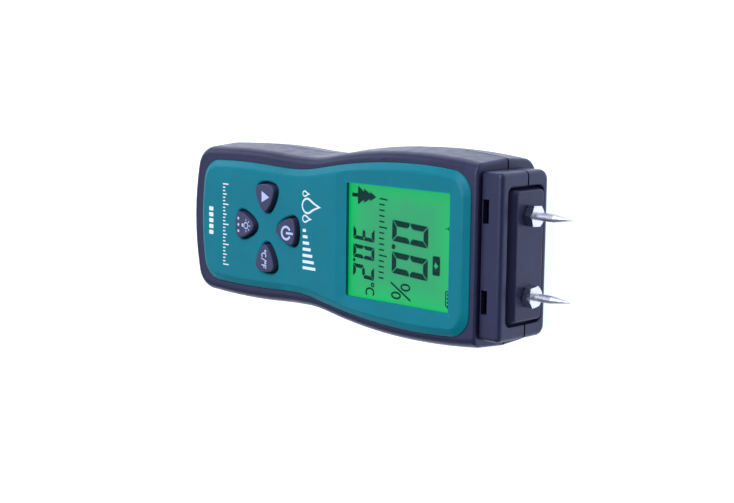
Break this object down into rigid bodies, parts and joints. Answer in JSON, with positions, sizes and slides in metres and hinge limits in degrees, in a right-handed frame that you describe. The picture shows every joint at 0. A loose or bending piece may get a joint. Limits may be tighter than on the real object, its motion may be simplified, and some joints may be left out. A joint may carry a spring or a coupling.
{
  "type": "pin-type moisture meter",
  "caption": "Handheld pin-type moisture meter: waisted case, teal front panel with backlit display and keypad, and steel electrode pins on the head.",
  "frame": {"origin": "centre of the bounding box's bottom, on the surface that the meter's back rests on", "axes": "+X is the meter's right, +Y points to the electrode pins, +Z comes out of its face"},
  "size_m": [0.0676, 0.1773, 0.0353],
  "materials": {
    "battery_metal": "plated",
    "battery_wrap": "printed sleeve",
    "block_plastic": "fine texture",
    "board": "solder mask",
    "capacitor": "ceramic",
    "carbon": "matte",
    "case_plastic": "fine texture",
    "chip": "matte",
    "contact_steel": "plated",
    "crystal_can": "satin",
    "gold_pads": "plated",
    "key_rubber": "matte",
    "label_paper": "printed film",
    "lcd_glass": "glossy",
    "led": "glossy",
    "lens_clear": "polished",
    "light_guide": "clear",
    "membrane": "matte",
    "nut_chrome": "plated",
    "panel_plastic": "satin",
    "pin_steel": "polished",
    "screw_steel": "zinc plated",
    "sensor": "epoxy",
    "socket_brass": "turned",
    "spring_steel": "plated",
    "tag_tin": "tinned",
    "tape": "matte",
    "white_plastic": "satin",
    "wire_black": "insulation",
    "wire_red": "insulation",
    "wire_white": "insulation",
    "zebra": "matte"
  },
  "bodies": {
    "housing": {"amplifier_chip": "chip", "backlight_diffuser": "white_plastic", "backlight_guide": "light_guide", "backlight_leds": "led", "battery_contact_plates": "contact_steel", "battery_left": "battery_wrap", "battery_middle": "battery_wrap", "battery_right": "battery_wrap", "battery_springs": "spring_steel", "battery_terminals": "battery_metal", "battery_wire_negative": "wire_black", "battery_wire_positive": "wire_red", "board_capacitors": "capacitor", "board_screws": "screw_steel", "case_screws": "screw_steel", "controller_chip": "chip", "crystal": "crystal_can", "display_lens": "lens_clear", "electrode_block": "block_plastic", "electrode_wire_left": "wire_white", "electrode_wire_right": "wire_white", "front_panel": "panel_plastic", "front_shell": "case_plastic", "keypad_contact_pads": "gold_pads", "keypad_membrane": "membrane", "lcd_connector_strip": "zebra", "lcd_frame": "white_plastic", "lcd_front_glass": "lcd_glass", "lcd_rear_glass": "lcd_glass", "left_socket": "socket_brass", "left_solder_tag": "tag_tin", "lens_tape": "tape", "main_board": "board", "rear_label": "label_paper", "rear_shell": "case_plastic", "right_socket": "socket_brass", "right_solder_tag": "tag_tin", "temperature_sensor": "sensor"},
    "power_button": {"power_key": "key_rubber", "power_key_contact": "carbon"},
    "up_button": {"up_key": "key_rubber", "up_key_contact": "carbon"},
    "mode_button": {"mode_key": "key_rubber", "mode_key_contact": "carbon"},
    "unit_button": {"unit_key": "key_rubber", "unit_key_contact": "carbon"},
    "battery_cover": {"battery_door": "case_plastic"},
    "left_electrode": {"left_pin": "pin_steel", "left_hex_nut": "nut_chrome"},
    "right_electrode": {"right_pin": "pin_steel", "right_hex_nut": "nut_chrome"}
  },
  "joints": [
    {"name": "power_press", "type": "slide", "parent": "housing", "child": "power_button", "axis": [0, 0, -1], "range_m": [0, 0.0008], "stiffness_N_per_m": 800, "springref_m": -0.0004},
    {"name": "up_press", "type": "slide", "parent": "housing", "child": "up_button", "axis": [0, 0, -1], "range_m": [0, 0.0008], "stiffness_N_per_m": 800, "springref_m": -0.0004},
    {"name": "mode_press", "type": "slide", "parent": "housing", "child": "mode_button", "axis": [0, 0, -1], "range_m": [0, 0.0008], "stiffness_N_per_m": 800, "springref_m": -0.0004},
    {"name": "unit_press", "type": "slide", "parent": "housing", "child": "unit_button", "axis": [0, 0, -1], "range_m": [0, 0.0008], "stiffness_N_per_m": 800, "springref_m": -0.0004},
    {"name": "battery_cover_slide", "type": "slide", "parent": "housing", "child": "battery_cover", "axis": [0, -1, 0], "range_m": [0, 0.066]},
    {"name": "left_electrode_pull", "type": "slide", "parent": "housing", "child": "left_electrode", "axis": [0, 1, 0], "range_m": [0, 0.012]},
    {"name": "right_electrode_pull", "type": "slide", "parent": "housing", "child": "right_electrode", "axis": [0, 1, 0], "range_m": [0, 0.012]}
  ]
}
